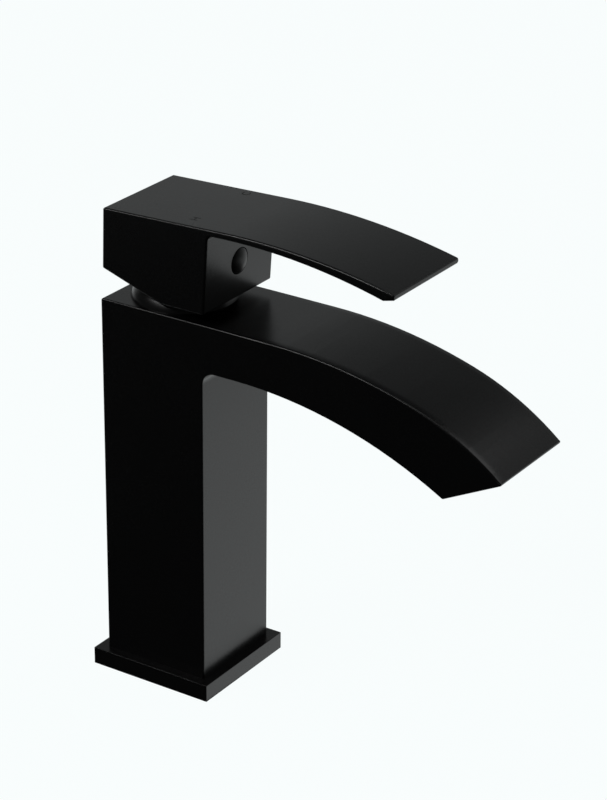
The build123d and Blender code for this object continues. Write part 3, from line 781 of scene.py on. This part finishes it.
def towards(sheet, vector, azimuth, spread):
    """1 where a flat direction points into a sector, 0 outside it."""
    middle = math.radians(azimuth)
    flat = sheet.add("ShaderNodeVectorMath", {"operation": "MULTIPLY"}, {0: vector, 1: (1, 1, 0)})["Vector"]
    aim = sheet.add("ShaderNodeVectorMath", {"operation": "NORMALIZE"}, {0: flat})["Vector"]
    values = {0: aim, 1: (math.cos(middle), math.sin(middle), 0)}
    cosine = sheet.add("ShaderNodeVectorMath", {"operation": "DOT_PRODUCT"}, values)["Value"]
    start, full = spread
    return eased(sheet, cosine, math.cos(math.radians(start)), math.cos(math.radians(full)))


print("studio helpers ready")

# %% Lay the floor
GROUND = (0.962, 1.0, 1.0, 1.0)
# Apex, azimuth of the middle, degrees from it where the card starts and is full, light past its end.
CARDS = [
    (Vector((26.2, 8.6, 0.0)) * MM, -125.0, (37.0, 33.5), 0.35),
    (Vector((26.2, -25.0, 0.0)) * MM, -42.0, (57.0, 47.0), 0.0),
]
CARD_END = (0.60, 0.90)  # distance where a card starts to fade into the floor, and where it has faded
CARD_SEEN = 0.03  # how bright a card is
# painted pool of light: the floor's glow for mirrored and bounced rays dims away from the foot
POOL = (0.20, 0.50)  # distance where the floor starts to fall off, and where it is dimmest
POOL_EDGE = 0.75  # how bright it is there
SHADOW_SHARE = 0.03  # part of the floor's white that its shading makes
FLOOR_RADIUS = 3.0
FLOOR_SIDES = 96
FLOOR_DROP = 0.05 * MM  # keeps it clear of the foot


def lay_floor():
    mesh = bpy.data.meshes.new("floor")
    shape = bmesh.new()
    bmesh.ops.create_circle(shape, cap_ends=True, segments=FLOOR_SIDES, radius=FLOOR_RADIUS)
    bmesh.ops.translate(shape, verts=shape.verts, vec=(0, 0, -FLOOR_DROP))
    shape.to_mesh(mesh)
    shape.free()
    floor = bpy.data.objects.new("floor", mesh)
    bpy.context.scene.collection.objects.link(floor)
    sheet = Sheet(bpy.data.materials.new("studio_floor"))
    camera_ray = sheet.add("ShaderNodeLightPath")["Is Camera Ray"]
    place = sheet.place()
    distance = sheet.add("ShaderNodeVectorMath", {"operation": "LENGTH"}, {0: place})["Value"]
    # the floor's glow, with its painted pool of light round the foot
    seen = 1 - eased(sheet, distance, *POOL) * (1 - POOL_EDGE)
    for apex, azimuth, spread, far_light in CARDS:
        values = {0: place, 1: apex}
        from_apex = sheet.add("ShaderNodeVectorMath", {"operation": "SUBTRACT"}, values)["Vector"]
        ended = eased(sheet, distance, *CARD_END) * far_light
        card = towards(sheet, from_apex, azimuth, spread) * (1 - ended)
        seen = seen * (1 - card * (1 - CARD_SEEN))
    strength = camera_ray + (1 - camera_ray) * seen
    glow = sheet.add("ShaderNodeEmission", {}, {"Color": GROUND, "Strength": strength})["Emission"]
    matt = sheet.add("ShaderNodeBsdfDiffuse", {}, {"Color": GROUND})["BSDF"]
    share = 1 - camera_ray * SHADOW_SHARE
    both = sheet.add("ShaderNodeMixShader", {}, {0: share, 1: matt, 2: glow})["Shader"]
    sheet.add("ShaderNodeOutputMaterial", {}, {"Surface": both})
    mesh.materials.append(sheet.owner)
    return floor


print("floor", lay_floor().name)

# %% [markdown]
# ## The studio's walls
# The top of the object mirrors a wall behind it, which is greyer than the floor. On the camera's side a
# dark drape hangs on the wall, behind the cards. The walls fade into a dark ceiling with a soft panel
# straight overhead. Walls that stood round the object would hide it from other sides, so the world makes
# them, by the direction of a ray alone.

# %% Set the world
DRAPE_AZIMUTH = -75.0
DRAPE_SPREAD = (120.0, 109.0)  # degrees from there where it starts and where it is full
DRAPE_SEEN = 0.05
WALL_SEEN = 0.37
CEILING = (0.31, 0.76)  # height of the direction where the walls end and where the dark ceiling is full
PANEL = (0.93, 0.975)  # height where the soft panel overhead starts and where it is full
PANEL_SEEN = 1.0
FAR_WHITE = 0.976  # how bright the world is for the camera, the same as the floor at its far rim


def set_world():
    world = bpy.data.worlds.new("studio")
    bpy.context.scene.world = world
    sheet = Sheet(world)
    camera_ray = sheet.add("ShaderNodeLightPath")["Is Camera Ray"]
    aim = sheet.add("ShaderNodeTexCoord")["Generated"]
    height = sheet.add("ShaderNodeSeparateXYZ", {}, {0: aim})["Z"]
    wall = WALL_SEEN - towards(sheet, aim, DRAPE_AZIMUTH, DRAPE_SPREAD) * (WALL_SEEN - DRAPE_SEEN)
    seen = wall * (1 - eased(sheet, height, *CEILING)) + eased(sheet, height, *PANEL) * PANEL_SEEN
    strength = camera_ray * FAR_WHITE + (1 - camera_ray) * seen
    light = sheet.add("ShaderNodeBackground", {}, {"Color": GROUND, "Strength": strength})["Background"]
    sheet.add("ShaderNodeOutputWorld", {}, {"Surface": light})


set_world()
bpy.context.scene.view_settings.view_transform = "Standard"
print("world", bpy.context.scene.world.name)

# %% [markdown]
# ## Lamps
# A long, narrow soft box hangs high on the near side. It is mirrored only in the rounds along the edges,
# and that gives the thin bright lines which draw the object's shape. A weaker one hangs high behind the
# spout, and the eased edge near the end of the arch mirrors it. More light than that isn't needed, because
# the coating shows what it mirrors.

# %% Hang the lamps
# Place and size in metres, and watts.
LAMPS = {
    "near_box": ((-0.37, -0.68, 0.82), (0.62, 0.14), 3.8),
    "far_box": ((0.66, 0.70, 1.14), (0.7, 0.5), 1.7),
}
LAMP_AIM = Vector((30.0, 0.0, 110.0)) * MM


def hang_lamp(name, place, size, watts):
    light = bpy.data.lights.new(name, "AREA")
    light.shape = "RECTANGLE"
    light.size, light.size_y = size
    light.energy = watts
    lamp = bpy.data.objects.new(name, light)
    bpy.context.scene.collection.objects.link(lamp)
    lamp.location = place
    lamp.rotation_euler = (LAMP_AIM - lamp.location).to_track_quat("-Z", "Y").to_euler()
    return lamp


for name, (place, size, watts) in LAMPS.items():
    print(hang_lamp(name, place, size, watts).name, watts, "W")

# %% [markdown]
# ## The end
# At the end the view layer is brought up to date.

# %% Update the view layer
bpy.context.view_layer.update()
